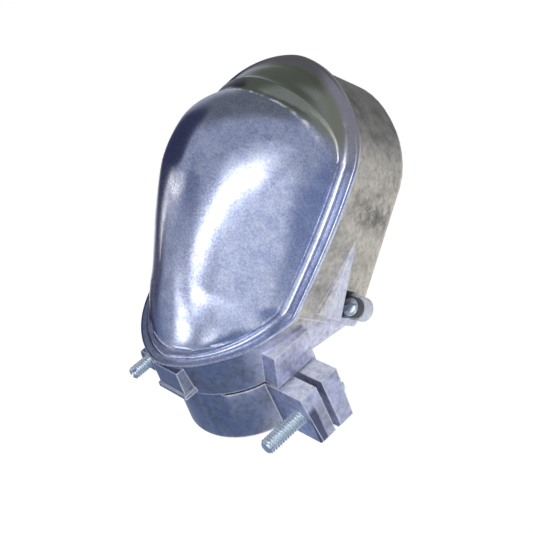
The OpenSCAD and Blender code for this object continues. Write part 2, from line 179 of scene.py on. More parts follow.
class WeatherheadColours(bpy.types.PropertyGroup):
    """Colours of the finishes"""
    cap: FloatVectorProperty(
        name="Cap", description="Tumbled aluminium of the cap",
        subtype="COLOR", size=4, default=(0.63, 0.67, 0.79, 1), min=0, max=1)
    cap_dark: FloatVectorProperty(
        name="Cap clouds", description="Darker clouds on the cap",
        subtype="COLOR", size=4, default=(0.30, 0.34, 0.52, 1), min=0, max=1)
    # the hood's warm tone paints a reflection of warm surroundings on the casting
    hood: FloatVectorProperty(
        name="Hood", description="Dull casting of the hood",
        subtype="COLOR", size=4, default=(0.66, 0.615, 0.52, 1), min=0, max=1)
    hood_dark: FloatVectorProperty(
        name="Hood stains", description="Stains on the hood",
        subtype="COLOR", size=4, default=(0.12, 0.11, 0.09, 1), min=0, max=1)
    # the collar's slate tone paints a reflection of cool surroundings on the same casting
    collar: FloatVectorProperty(
        name="Collar", description="Slate skin of the collar",
        subtype="COLOR", size=4, default=(0.34, 0.385, 0.54, 1), min=0, max=1)
    # the ears' paler tone paints the light that falls on them from above
    ears: FloatVectorProperty(
        name="Ears", description="Paler skin of the clamp ears",
        subtype="COLOR", size=4, default=(0.76, 0.78, 0.98, 1), min=0, max=1)
    zinc: FloatVectorProperty(
        name="Zinc", description="Bright plating of the screws",
        subtype="COLOR", size=4, default=(0.70, 0.78, 0.84, 1), min=0, max=1)
    insulator: FloatVectorProperty(
        name="Insulator", description="Moulded insulator",
        subtype="COLOR", size=4, default=(0.085, 0.088, 0.092, 1), min=0, max=1)


class WeatherheadView(bpy.types.PropertyGroup):
    """Where the camera stands"""
    azimuth: FloatProperty(
        name="Azimuth", description="Angle round the object",
        default=math.radians(236.53), subtype="ANGLE")
    elevation: FloatProperty(
        name="Elevation", description="Angle above the horizon",
        default=math.radians(33.7), subtype="ANGLE")
    roll: FloatProperty(
        name="Roll", description="Tilt of the camera",
        default=math.radians(19.14), subtype="ANGLE")
    distance: FloatProperty(
        name="Distance", description="From the camera to its target",
        default=0.41066, unit="LENGTH")
    target: FloatVectorProperty(
        name="Target", description="Point in the middle of the view",
        size=3, default=(0.00912, -0.03149, 0.03745), subtype="TRANSLATION")
    lens: FloatProperty(
        name="Lens", description="Focal length for a 36 mm sensor",
        default=67.54)


# ---------------------------------------------------------------- mesh helpers

def hood_point(x, u, h):
    """A point at x across, u ahead of the rim's corner and h out through the dome."""
    return Vector((x, CORNER.y - u * math.cos(HOOD_TILT) + h * math.sin(HOOD_TILT),
                   CORNER.z + u * math.sin(HOOD_TILT) + h * math.cos(HOOD_TILT)))


def add_piece(name, verts, faces, finish, slot, body, sharp):
    """A new piece that rides on a body; edges that turn more than sharp degrees stay crisp."""
    mesh = bpy.data.meshes.new(name)
    mesh.from_pydata([tuple(v) for v in verts], [], faces)
    bm = bmesh.new()
    bm.from_mesh(mesh)
    bmesh.ops.recalc_face_normals(bm, faces=bm.faces)
    for face in bm.faces:
        face.smooth = True
    for edge in bm.edges:
        if len(edge.link_faces) == 2 and edge.calc_face_angle(0) > math.radians(sharp):
            edge.smooth = False
    bm.to_mesh(mesh)
    bm.free()
    mesh.materials.append(finish_named(finish))
    piece = shown(name, mesh)
    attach(piece, body)
    return piece


def bevel(piece, width, angle):
    """Rounds the piece's edges that turn more than an angle a little."""
    mod = piece.modifiers.new("soft edges", "BEVEL")
    mod.width = width
    mod.segments = 2
    mod.limit_method = "ANGLE"
    mod.angle_limit = math.radians(angle)
    mod.harden_normals = True


def block(bottom, top):
    """Corners and faces of a block between two four-cornered ends."""
    sides = [(i, (i + 1) % 4, (i + 1) % 4 + 4, i + 4) for i in range(4)]
    return [*bottom, *top], [(3, 2, 1, 0), (4, 5, 6, 7)] + sides


def join(parts):
    """Several lists of corners and faces as one."""
    verts, faces = [], []
    for v, f in parts:
        faces += [tuple(i + len(verts) for i in face) for face in f]
        verts += v
    return verts, faces


# ---------------------------------------------------------------- shader groups and finishes

class Nodes:
    """Short names for the shader nodes that the finishes are built of"""

    def __init__(self, tree):
        self.tree = tree

    def put(self, socket, value):
        """Links another socket to a socket, or sets its value."""
        if isinstance(value, bpy.types.NodeSocket):
            self.tree.links.new(value, socket)
        else:
            socket.default_value = value

    def math(self, operation, *values):
        """A Math node of one to three values or sockets."""
        node = self.tree.nodes.new("ShaderNodeMath")
        node.operation = operation
        for socket, value in zip(node.inputs, values):
            self.put(socket, value)
        return node.outputs[0]

    def chain(self, operation, first, *others):
        """Math nodes that take two or more values in order."""
        for other in others:
            first = self.math(operation, first, other)
        return first

    def times(self, *values):
        return self.chain("MULTIPLY", *values)

    def plus(self, *values):
        return self.chain("ADD", *values)

    def most(self, *values):
        return self.chain("MAXIMUM", *values)

    def minus(self, a, b):
        return self.math("SUBTRACT", a, b)

    def rest(self, value, share):
        """What a share of a value leaves of 1."""
        return self.minus(1.0, self.times(value, share))

    def scaled(self, value, factor, offset):
        return self.math("MULTIPLY_ADD", value, factor, offset)

    def unsigned(self, value):
        return self.math("ABSOLUTE", value)

    def mix(self, factor, a, b):
        """A Mix node of two colours."""
        node = self.tree.nodes.new("ShaderNodeMix")
        node.data_type = "RGBA"
        for socket, value in ((node.inputs[0], factor), (node.inputs[6], a), (node.inputs[7], b)):
            self.put(socket, value)
        return node.outputs[2]

    def noise(self, where, scale, detail, roughness, distortion=0.0):
        """A Noise texture's value."""
        node = self.tree.nodes.new("ShaderNodeTexNoise")
        for name, value in (("Vector", where), ("Scale", scale), ("Detail", detail),
                            ("Roughness", roughness), ("Distortion", distortion)):
            self.put(node.inputs[name], value)
        return node.outputs[0]

    def spread(self, value, low, high):
        """Stretches a value between low and high to the range 0 to 1."""
        node = self.tree.nodes.new("ShaderNodeMapRange")
        node.interpolation_type = "SMOOTHSTEP"
        for name, v in (("Value", value), ("From Min", low), ("From Max", high)):
            self.put(node.inputs[name], v)
        return node.outputs["Result"]

    def vector(self, operation, a, b):
        """The value of a Vector Math node."""
        node = self.tree.nodes.new("ShaderNodeVectorMath")
        node.operation = operation
        self.put(node.inputs[0], a)
        self.put(node.inputs[1], b)
        return node.outputs["Value"]

    def split(self, vector):
        """The X, Y and Z of a vector."""
        node = self.tree.nodes.new("ShaderNodeSeparateXYZ")
        self.put(node.inputs[0], vector)
        return tuple(node.outputs)


def cast_skin_group():
    """Shader group: the pebbled skin of a die casting, with clouds, specks and a bump height."""
    tree = bpy.data.node_groups.new("Cast skin", "ShaderNodeTree")
    for name, kind in (("Vector", "Vector"), ("Cloud Scale", "Float"), ("Grain Scale", "Float")):
        tree.interface.new_socket(name=name, in_out="INPUT", socket_type=f"NodeSocket{kind}")
    for name in ("Clouds", "Specks", "Grain", "Height"):
        tree.interface.new_socket(name=name, in_out="OUTPUT", socket_type="NodeSocketFloat")
    source = tree.nodes.new("NodeGroupInput").outputs
    result = tree.nodes.new("NodeGroupOutput").inputs
    group = Nodes(tree)
    where = source["Vector"]
    clouds = group.noise(where, source["Cloud Scale"], 6.0, 0.62, 0.35)
    grain = group.noise(where, source["Grain Scale"], 3.0, 0.6)
    middle = group.noise(where, 420.0, 4.0, 0.65)
    waves = group.noise(where, 46.0, 2.0, 0.4)
    group.put(result["Clouds"], group.spread(clouds, 0.36, 0.66))
    group.put(result["Specks"], group.spread(middle, 0.55, 0.74))
    group.put(result["Grain"], group.spread(grain, 0.3, 0.7))
    group.put(result["Height"], group.plus(group.times(grain, 0.25), group.times(middle, 0.45),
                                           group.times(waves, 1.6)))
    return tree


class Finish(Nodes):
    """A material with its Principled shader and the cast skin, in object coordinates"""

    def __init__(self, name, group, cloud_scale, grain_scale):
        self.material = bpy.data.materials.new(name)
        self.material.use_nodes = True
        super().__init__(self.material.node_tree)
        self.shader = self.tree.nodes["Principled BSDF"]
        places = self.tree.nodes.new("ShaderNodeTexCoord").outputs
        self.where, self.normal = places["Object"], places["Normal"]
        skin = self.tree.nodes.new("ShaderNodeGroup")
        skin.node_tree = group
        for socket, value in (("Vector", self.where), ("Cloud Scale", cloud_scale),
                              ("Grain Scale", grain_scale)):
            self.put(skin.inputs[socket], value)
        self.skin = skin.outputs

    def feed(self, name, value):
        self.put(self.shader.inputs[name], value)

    def bump(self, strength, distance):
        """Turns the skin's height into the shader's normal."""
        node = self.tree.nodes.new("ShaderNodeBump")
        for name, value in (("Strength", strength), ("Distance", distance),
                            ("Height", self.skin["Height"])):
            self.put(node.inputs[name], value)
        self.feed("Normal", node.outputs[0])

    def hood_places(self):
        """The distances across, along and out of the rim plane, in metres."""
        x, y, z = self.split(self.where)
        y, z = self.minus(y, CORNER.y), self.minus(z, CORNER.z)
        return (x, self.times(self.minus(z, y), math.cos(HOOD_TILT)),
                self.times(self.plus(z, y), math.cos(HOOD_TILT)))

    def oval(self, x, u, centre, half_x, half_u):
        """Distance from a centre in the rim plane, 1 on the oval."""
        a = self.math("DIVIDE", self.minus(u, centre), half_u)
        b = self.math("DIVIDE", x, half_x)
        return self.math("SQRT", self.plus(self.times(a, a), self.times(b, b)))

    def edge_highlights(self, radius, low, high):
        """1 along the arrises of a piece, found by rounding its normals, where highlights are
        painted.
        """
        rounded = self.tree.nodes.new("ShaderNodeBevel")
        rounded.samples = 6
        rounded.inputs["Radius"].default_value = radius
        flat = self.tree.nodes.new("ShaderNodeNewGeometry").outputs["True Normal"]
        alike = self.vector("DOT_PRODUCT", rounded.outputs["Normal"], flat)
        return self.spread(self.minus(1.0, alike), low, high)


def brim_reflection_mask(cap):
    """1 on the brim between the flange and the front of the dome, where an olive reflection is
    painted.
    """
    x, u, _ = cap.hood_places()
    outer = cap.spread(cap.oval(x, u, *BRIM_EDGE), 1.0, 0.96)
    inner = cap.spread(cap.oval(x, u, *DOME_FRONT), 0.95, 1.01)
    return cap.times(outer, inner, cap.spread(u, 0.058, 0.068))


def cap_specks_and_highlights(cap):
    """The painted highlight along the front foot of the dome, a cluster of white specks, and a
    scratch whose white line is also a painted highlight along an edge.
    """
    x, u, deep = cap.hood_places()
    # painted highlight along the front foot of the dome
    foot = cap.spread(cap.unsigned(cap.minus(cap.oval(x, u, *DOME_FRONT), 0.965)), 0.035, 0.0)
    foot = cap.times(foot, cap.spread(u, 0.060, 0.066))
    foot = cap.times(foot, cap.spread(cap.noise(cap.where, 240.0, 4.0, 0.6), 0.35, 0.60), 0.8)
    dots = cap.spread(cap.noise(cap.where, 1300.0, 3.0, 0.8), 0.50, 0.56)
    away = cap.vector("DISTANCE", cap.where, SPECKS_AT)
    dots = cap.times(dots, cap.spread(away, 0.0042, 0.0015))
    # a scratch line that is also a painted highlight along the edge
    line = cap.spread(cap.unsigned(cap.minus(x, SCRATCH_HIGHLIGHT_X)), 0.0007, 0.0002)
    ends = cap.times(cap.spread(u, 0.004, 0.007), cap.spread(u, 0.018, 0.014))
    line = cap.times(line, cap.spread(deep, 0.028, 0.031), ends, 0.6)
    return cap.most(foot, cap.most(dots, line))


def cap_finish(group, colours):
    """Tumbled bright aluminium with blue-grey clouds, a painted olive reflection on the brim and
    painted highlights.
    """
    cap = Finish("cap tumbled aluminium", group, 170.0, 1500.0)
    skin = cap.skin
    fine = cap.spread(cap.noise(cap.where, 1300.0, 4.0, 0.7, 0.4), 0.38, 0.62)
    cloudy = cap.plus(cap.times(skin["Clouds"], 0.45), cap.times(fine, 0.55))
    _, u, deep = cap.hood_places()
    chalk_and_highlight = cap_specks_and_highlights(cap)
    colour = cap.mix(cloudy, colours.cap_dark, colours.cap)
    for mask, tint in (
            (cap.times(skin["Grain"], 0.2), CAP_GRAIN),
            (cap.times(skin["Specks"], 0.35), CAP_SPECK),
            (cap.times(cap.spread(deep, 0.0, -0.0008), 0.45), RIM_SHADE),
            (cap.times(cap.spread(deep, 0.0090, 0.0065), cap.spread(u, 0.045, 0.070), 0.8),
             RIM_WARM),
            # the painted olive reflection on the brim
            (cap.times(brim_reflection_mask(cap), 0.85), BRIM_OLIVE_REFLECTION),
            # white specks, with the painted highlights of the foot line and the scratch
            (chalk_and_highlight, CHALK_AND_HIGHLIGHT)):
        colour = cap.mix(mask, colour, tint)
    cap.feed("Base Color", colour)
    # the specks and the painted highlights are drawn white, not as metal
    cap.feed("Metallic", cap.rest(chalk_and_highlight, 0.85))
    cap.feed("Roughness", cap.plus(cap.scaled(skin["Clouds"], -0.05, 0.205),
                                   cap.times(skin["Grain"], 0.05)))
    cap.bump(0.10, 0.0002)
    return cap.material


def side_forms(cast, x, u, deep):
    """Masks of the hood's side ribs, of its lugs and of the pockets over them."""
    wide = cast.unsigned(x)
    proud = cast.minus(wide, cast.scaled(u, 0.085, 0.0380))
    rib = cast.times(cast.spread(proud, 0.0, 0.0005), cast.spread(u, 0.036, 0.034))
    rib = cast.times(rib, cast.times(cast.spread(deep, -0.0185, -0.0175),
                                     cast.spread(deep, -0.008, -0.009)))
    lug = cast.times(cast.spread(proud, 0.0003, 0.0012),
                     cast.times(cast.spread(u, 0.026, 0.024), 0.85))
    pocket = cast.times(cast.spread(wide, 0.0335, 0.0345),
                        cast.times(cast.spread(u, 0.021, 0.019),
                                   cast.spread(deep, -0.0195, -0.0210)))
    return rib, lug, pocket


def casting_finish(group, colours):
    """Dull casting of one metal, whose painted reflections make it warm on the hood, slate on the
    collar and paler on the ears and ribs, with stains, painted edge highlights and painted light on
    upward faces.
    """
    cast = Finish("base casting skin", group, 150.0, 1100.0)
    skin, where = cast.skin, cast.where
    x, u, deep = cast.hood_places()
    low = cast.spread(cast.vector("DOT_PRODUCT", where, COLLAR_WAY), -0.050, -0.034)
    ears = cast.times(cast.spread(cast.vector("DOT_PRODUCT", where, EARS_WAY), 0.025, 0.031), low)
    rib, lug, pocket = side_forms(cast, x, u, deep)
    patches = cast.spread(cast.noise(where, 80.0, 7.0, 0.68, 0.2), 0.44, 0.72)
    stain = cast.oval(cast.plus(deep, STAIN_DEEP), u, *STAIN)
    stain = cast.times(cast.spread(stain, 1.0, 0.3), cast.spread(x, -0.030, -0.036))
    blots = cast.spread(cast.noise(where, 190.0, 6.0, 0.7, 0.2), 0.38, 0.62)
    grime = cast.spread(cast.noise(where, 420.0, 5.0, 0.75, 0.3), 0.36, 0.62)
    upper = cast.times(cast.spread(u, 0.055, 0.084), cast.plus(cast.times(patches, 0.35), 0.65))
    # painted highlights along the edges
    edge_light = cast.times(cast.edge_highlights(0.0010, 0.015, 0.12), 0.85)
    place_x, place_y, _ = cast.split(where)
    # painted shade on the bevelled strip between an ear's front face and its end
    strip = cast.times(cast.spread(place_y, 0.0052, 0.0060), cast.spread(place_x, -0.0462, -0.0468))
    strip = cast.times(cast.times(strip, low), cast.rest(edge_light, 0.8))
    # the hood's warm tone is a painted reflection
    colour = colours.hood
    for mask, tint in (
            # painted reflections: slate on the collar, paler on the ears and the side ribs
            (low, colours.collar),
            (ears, colours.ears),
            (rib, colours.ears),
            (cast.times(patches, 0.5), colours.hood_dark),
            (upper, HOOD_OLIVE),
            (cast.times(stain, blots, 0.95), colours.hood_dark),
            (cast.times(skin["Clouds"], 0.25), HOOD_PALE),
            (cast.times(skin["Specks"], 0.35), HOOD_SPECK),
            (cast.times(grime, 0.35), GRIME),
            # the painted edge highlights
            (edge_light, EDGE_HIGHLIGHT),
            # the painted shade on the ears' end strip
            (cast.times(strip, 0.85), STRIP)):
        colour = cast.mix(mask, colour, tint)
    _, facing_y, facing_z = cast.split(cast.normal)
    # painted light: the ears' upward faces, the lugs, the pockets' faces turned up and back, and
    # the edges are drawn pale and dull, as if lit
    lit_faces = cast.times(cast.spread(facing_z, 0.60, 0.95), ears)
    pocket = cast.times(pocket, cast.spread(cast.plus(facing_y, facing_z), 0.9, 1.2))
    lit_faces = cast.most(lit_faces, cast.times(cast.most(lug, pocket), cast.minus(1.0, low)))
    lit_faces = cast.most(cast.times(lit_faces, cast.rest(grime, 0.3)), cast.times(edge_light, 0.75))
    lit_face_colour = cast.mix(cast.times(grime, 0.7), LIT_FACE_PALE, LIT_FACE_GREY)
    cast.feed("Base Color", cast.mix(lit_faces, colour, lit_face_colour))
    cast.feed("Metallic", cast.rest(lit_faces, 0.8))
    cast.feed("Roughness", cast.plus(cast.times(skin["Grain"], 0.10), 0.42))
    cast.bump(0.35, 0.0003)
    return cast.material


def plain_finish(name, group, scales, colours, metallic, roughness, grain, bump):
    """A finish of one colour with clouds of another."""
    finish = Finish(name, group, *scales)
    finish.feed("Base Color", finish.mix(finish.times(finish.skin["Clouds"], 0.5), *colours))
    finish.feed("Metallic", metallic)
    finish.feed("Roughness", finish.plus(finish.times(finish.skin["Grain"], grain), roughness))
    finish.bump(*bump)
    return finish.material


def zinc_finish(group, colours):
    """Bright zinc plate with faint tool marks."""
    return plain_finish("zinc plate", group, (260.0, 2600.0), (colours.zinc, ZINC_DARK),
                        metallic=0.9, roughness=0.27, grain=0.10, bump=(0.15, 0.0001))


def insulator_finish(group, colours):
    """Black moulded insulator with a dull sheen."""
    return plain_finish("insulator moulding", group, (120.0, 1800.0),
                        (colours.insulator, INSULATOR_DARK),
                        metallic=0.0, roughness=0.45, grain=0.15, bump=(0.35, 0.0002))


def finish_named(name):
    """A finish that an earlier operator made, or makes it now."""
    group = bpy.data.node_groups.get("Cast skin") or cast_skin_group()
    makers = {"cap tumbled aluminium": cap_finish, "base casting skin": casting_finish,
              "zinc plate": zinc_finish, "insulator moulding": insulator_finish}
    return (bpy.data.materials.get(name)
            or makers[name](group, bpy.context.scene.weatherhead_colours))


def dress_node(name, finish, edge, angle):
    """Gives a carried-over node its finish and softens its edges."""
    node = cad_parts[name]
    material = finish_named(finish)
    for i in range(max(1, len(node.material_slots))):
        if len(node.material_slots) <= i:
            node.data.materials.append(material)
        node.material_slots[i].material = material
    weld = node.modifiers.new("weld", "WELD")
    weld.merge_threshold = WELD
    bevel(node, edge, angle)


# ---------------------------------------------------------------- the cap

CAP_MIDDLE = 0.038                    # the cap's loops run round this place ahead of the corner
CAP_AROUND, CAP_SPANS = 288, 34       # points in a loop, and loops between the foot and the middle


class CapShape:
    """The cap's surface over the rim plane, from the same sizes as the frame."""

    def __init__(self, s):
        self.s = s
        self.fall = math.cos(HOOD_TILT - BACK_DROP)
        self.brim_w, self.brim_lift, self.brim_h = 0.005, 0.0032, 0.0184
        self.dome_front, self.crest_u, self.foot_round, self.wall = 0.0796, 0.040, 0.0024, 0.0022
        # exponents of the dome's sections, the rim's ends, the crest's fall and the brim's fall
        self.round, self.end_round, self.crest_fall, self.brim_fall = 1.85, 1.75, 1.3, 0.8
        self.dome_back = (s.rim_back - s.flange_width) * self.fall

    def half_at(self, u, inset):
        """Half width of the rim's outline at u, drawn in by inset."""
        s = self.s
        wide, corner, length = s.rim_half - inset, s.corner_half - inset, s.rim_len - inset
        if u < 0:
            reach = (s.rim_back - inset) * self.fall
            return corner * self.end_oval(-u / reach)
        if u < s.rim_widest:
            return corner + (wide - corner) * math.sin(QUARTER * u / s.rim_widest)
        return wide * self.end_oval((u - s.rim_widest) / (length - s.rim_widest))

    def end_oval(self, t):
        """Half width of a rounded end, from 1 at its start to 0 at its tip."""
        return max(0.0, 1 - limited(t) ** self.end_round) ** (1 / self.end_round)

    def rise(self, u):
        """How far the rim itself rises out of the hood's rim plane behind the corner."""
        return max(0.0, -u) * math.tan(HOOD_TILT - BACK_DROP)

    def crest(self, u):
        """Height of the dome along its middle."""
        s = self.s
        if u < self.crest_u:
            low = self.rise(-self.dome_back) + s.flange_thickness
            behind = max(0.0, (self.crest_u - u) / (self.crest_u + self.dome_back))
            return s.dome_height - (s.dome_height - low) * behind ** self.crest_fall
        ahead = (u - self.crest_u) / (self.dome_front - self.crest_u)
        return s.dome_height * math.sqrt(max(0.0, 1 - ahead ** 2))

    def foot(self, u):
        """Half width of the dome's foot."""
        s = self.s
        if u < s.rim_widest:
            return self.half_at(u, s.flange_width)
        ahead = (u - s.rim_widest) / (self.dome_front - s.rim_widest)
        return (s.rim_half - s.flange_width) * math.sqrt(max(0.0, 1 - ahead ** 2))

    def brim(self, x, u):
        """Height of the flange and of the brim ahead of the dome."""
        s = self.s
        length = s.rim_len - self.brim_w - s.rim_widest
        a, b = (u - s.rim_widest) / length, x / (s.rim_half - self.brim_w)
        r = math.hypot(a, b)
        edge = (s.rim_len - s.rim_widest) / length
        front = a / r if a > 0 else 0.0
        return (s.flange_thickness + self.brim_lift * front * limited((edge - r) / (edge - 1))
                + self.brim_h * math.sqrt(front) * max(0.0, 1 - r * r) ** self.brim_fall)

    def gap(self, x, u):
        """Distance outside the dome's foot."""
        s = self.s
        if u < 0:
            corner, power = self.half_at(0.0, s.flange_width), self.end_round
            across = ((-u / self.dome_back) ** power + (abs(x) / corner) ** power) ** (1 / power)
            return (across - 1) * corner
        if u < s.rim_widest:
            return abs(x) - self.foot(u)
        length, half = self.dome_front - s.rim_widest, s.rim_half - s.flange_width
        return (math.hypot((u - s.rim_widest) / length, x / half) - 1) * length

    def dome(self, x, u):
        """Height of the dome alone."""
        foot = self.foot(u)
        if abs(x) >= foot:
            return 0.0
        section = (1 - (abs(x) / foot) ** self.round) ** (1 / self.round)
        return max(0.0, self.crest(u) - self.rise(u)) * section

    def height(self, x, u):
        """Height of the cap's outside at x and u over the rim."""
        r = self.foot_round
        d = max(0.0, self.gap(x, u))
        fillet = r - math.sqrt(r * r - (r - d) ** 2) if d < r else 0.0
        return max(self.dome(x, u), self.brim(x, u) + fillet)


def reach_of(inside, across, along):
    """How far a ray goes before it leaves an outline."""
    low, high = 0.0, 0.12
    for _ in range(30):
        middle = (low + high) / 2
        if inside(middle * across, middle * along):
            low = middle
        else:
            high = middle
    return low


def cap_column(shape, across, along):
    """Points from the dome's middle out over the dome, fillet, brim and flange, and back inside."""
    s = shape.s

    def reach(half, back, front):
        """How far the ray goes in an outline of a half width, between two ends."""
        def inside(x, u):
            return abs(x) < half(CAP_MIDDLE + u) and back < CAP_MIDDLE + u < front

        return reach_of(inside, across, along)

    def at(r, h):
        """The point at a distance along the ray and a height over the rim."""
        x, u = r * across, CAP_MIDDLE + r * along
        return hood_point(x, u, shape.rise(u) + h)

    def outside(r, drop=0.0):
        """The point of the cap's outside, or a little under it."""
        return at(r, shape.height(r * across, CAP_MIDDLE + r * along) - drop)

    rim = reach(lambda u: shape.half_at(u, 0.0), -s.rim_back * shape.fall, s.rim_len)
    crease = reach(lambda u: shape.half_at(u, shape.brim_w), -math.inf, s.rim_len - shape.brim_w)
    foot = reach(shape.foot, -shape.dome_back, shape.dome_front)
    fold = max(foot + shape.foot_round * 1.15, min(crease, rim - 0.0028))
    start, inner, thick = foot + shape.foot_round, foot - shape.wall, s.flange_thickness
    column = [outside(foot * math.sin(QUARTER * k / CAP_SPANS)) for k in range(1, CAP_SPANS)]
    column += [outside(foot + shape.foot_round * (1 - math.cos(QUARTER * k / 7)))
               for k in range(1, 8)]
    column += [outside(start + (fold - start) * k / 4) for k in range(1, 5)]
    # the flange with its rounded edge, then its underside
    column += [outside((fold + rim) / 2), outside(rim - 0.0009), outside(rim - 0.0004, 0.00008),
               outside(rim - 0.0001, 0.0003), at(rim, thick - 0.0007), at(rim, 0.0004)]
    column += [at(rim - 0.0003, 0.0), at((rim + inner) / 2, 0.0), at(inner, 0.0)]
    for k in range(CAP_SPANS - 1, 0, -1):
        f = math.sin(QUARTER * k / CAP_SPANS)
        above = shape.dome(f * foot * across, CAP_MIDDLE + f * foot * along)
        column.append(at(f * inner, max(0.0, above - shape.wall)))
    return column


def cap_mesh(s):
    """Loops round the dome's middle, joined into a closed shell."""
    shape = CapShape(s)
    turns = [2 * math.pi * j / CAP_AROUND for j in range(CAP_AROUND)]
    columns = [cap_column(shape, math.sin(turn), math.cos(turn)) for turn in turns]
    verts, faces = skin_rings(list(zip(*columns)), closed=False)
    last, top = len(verts) - CAP_AROUND, len(verts)
    verts += [hood_point(0, CAP_MIDDLE, shape.height(0, CAP_MIDDLE)),
              hood_point(0, CAP_MIDDLE, shape.dome(0, CAP_MIDDLE) - shape.wall)]
    for j in range(CAP_AROUND):
        n = (j + 1) % CAP_AROUND
        faces += [(top, n, j), (top + 1, last + j, last + n)]
    return verts, faces


def tapered(x, u, h, draw):
    """A block between two values of x, u and h, drawn in at its lower end."""
    ends = []
    for height, d in ((h[0], draw), (h[1], 0.0)):
        x0, x1, u0, u1 = x[0] + d, x[1] - d, u[0] + d, u[1] - d
        ends.append([hood_point(*corner, height)
                     for corner in ((x0, u0), (x1, u0), (x1, u1), (x0, u1))])
    return block(*ends)


def cap_fixings(s):
    """Register tabs, front hook and rear tongue under the cap, as blocks."""
    shape = CapShape(s)
    inset, thick, long, deep = 0.0069, 0.0024, 0.010, -0.005
    parts = []
    for share in (0.25, 0.6, 0.95):
        u = share * s.rim_widest
        for side in (-1, 1):
            x = side * (shape.half_at(u, 0.0) - inset)
            parts.append(tapered((x - thick / 2, x + thick / 2), (u - long / 2, u + long / 2),
                                 (deep, s.flange_thickness / 2), 0.0004))
    front, half, thick_hook = s.rim_len - inset - thick / 2, 0.008, 0.003
    parts.append(tapered((-half, half), (front - thick_hook, front),
                         (deep, shape.height(half, front) - 0.0008), 0.0005))
    tongue = []
    for left, right, back, z in ((5.5, 15.5, 21.5, 34), (6.5, 14.5, 23.5, 46.4)):
        tongue.append([Vector((x, y, z)) * MM for x, y in ((left, 18.5), (right, 18.5),
                                                           (right, back), (left, back))])
    parts.append(block(*tongue))
    return join(parts)


# ---------------------------------------------------------------- screws

AROUND, PER_PITCH = 40, 8             # points in a ring, and rings in a turn of the thread


def ring(radius, z):
    """A ring round the local Z axis; radius is a number, or a function of the turn's share."""
    points = []
    for j in range(AROUND):
        turn = 2 * math.pi * j / AROUND
        r = radius(j / AROUND) if callable(radius) else radius
        points.append(Vector((r * math.cos(turn), r * math.sin(turn), z)))
    return points


def thread_surface(radius, depth, pitch, start, end, tip_chamfer):
    """Rings of a threaded shank along its axis, from start to end."""
    steps = max(2, int(round((end - start) / pitch * PER_PITCH)))

    def cut(z, turn):
        crest = 1 - abs(2 * ((z / pitch - turn) % 1.0) - 1)
        r = radius - depth * (1 - limited(1.45 * crest - 0.15))
        return min(r, radius - max(0.0, tip_chamfer - (end - z)))

    heights = [start + (end - start) * i / steps for i in range(steps + 1)]
    return [ring(lambda turn, z=z: cut(z, turn), z) for z in heights]


def skin_rings(rings, closed=True):
    """Joins rings of the same count into a skin, with its two ends closed or left open."""
    m = len(rings[0])
    verts = [p for points in rings for p in points]
    faces = []
    for i in range(len(rings) - 1):
        for j in range(m):
            k = (j + 1) % m
            faces.append((i * m + j, i * m + k, (i + 1) * m + k, (i + 1) * m + j))
    if closed:
        faces.append(tuple(range(m - 1, -1, -1)))
        faces.append(tuple((len(rings) - 1) * m + j for j in range(m)))
    return verts, faces


def turned(profile):
    """Rings of a turned shape: profile is a list of radius and height."""
    return [ring(r, z) for r, z in profile]


def cut_slot(piece, centre, along, across, down):
    """Cuts a driver's slot with a hidden block, applied at once."""
    verts, faces = block(*([centre + i * along + j * across + k * down
                            for i, j in SQUARE] for k in (-1, 1)))
    mesh = bpy.data.meshes.new("slot cutter")
    mesh.from_pydata([tuple(v) for v in verts], [], faces)
    cutter = shown("slot cutter", mesh)
    mod = piece.modifiers.new("slot", "BOOLEAN")
    mod.operation = "DIFFERENCE"
    mod.solver = "EXACT"
    mod.object = cutter
    bpy.context.view_layer.update()
    graph = bpy.context.evaluated_depsgraph_get()
    cut = bpy.data.meshes.new_from_object(piece.evaluated_get(graph))
    piece.modifiers.remove(mod)
    old = piece.data
    piece.data = cut
    cut.name = piece.name
    bpy.data.meshes.remove(old)
    bpy.data.objects.remove(cutter)
    bpy.data.meshes.remove(mesh)


def screw_piece(node, body, origin, direction, rings, slot_at, slot_size, slot_turn):
    """A threaded screw along a direction in the frame, with its driver's slot cut."""
    direction = Vector(direction)
    place = Matrix.Translation(origin) @ Vector(
        (0, 0, 1)).rotation_difference(direction.normalized()).to_matrix().to_4x4()
    verts, faces = skin_rings(rings)
    piece = add_piece(f"{node}_threaded", [place @ v for v in verts], faces, "zinc plate",
                      node, body, 38)
    place = place @ Matrix.Rotation(slot_turn, 4, "Z")
    sides = [place.to_3x3() @ Vector(side) for side in Matrix.Diagonal(slot_size)]
    cut_slot(piece, place @ Vector((0, 0, slot_at)), *sides)
    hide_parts(node)


def middle_of(low, high, y):
    """The middle of a box across X and Z, at a place along Y."""
    return (low.x + high.x) / 2, y, (low.z + high.z) / 2


# ---------------------------------------------------------------- operators

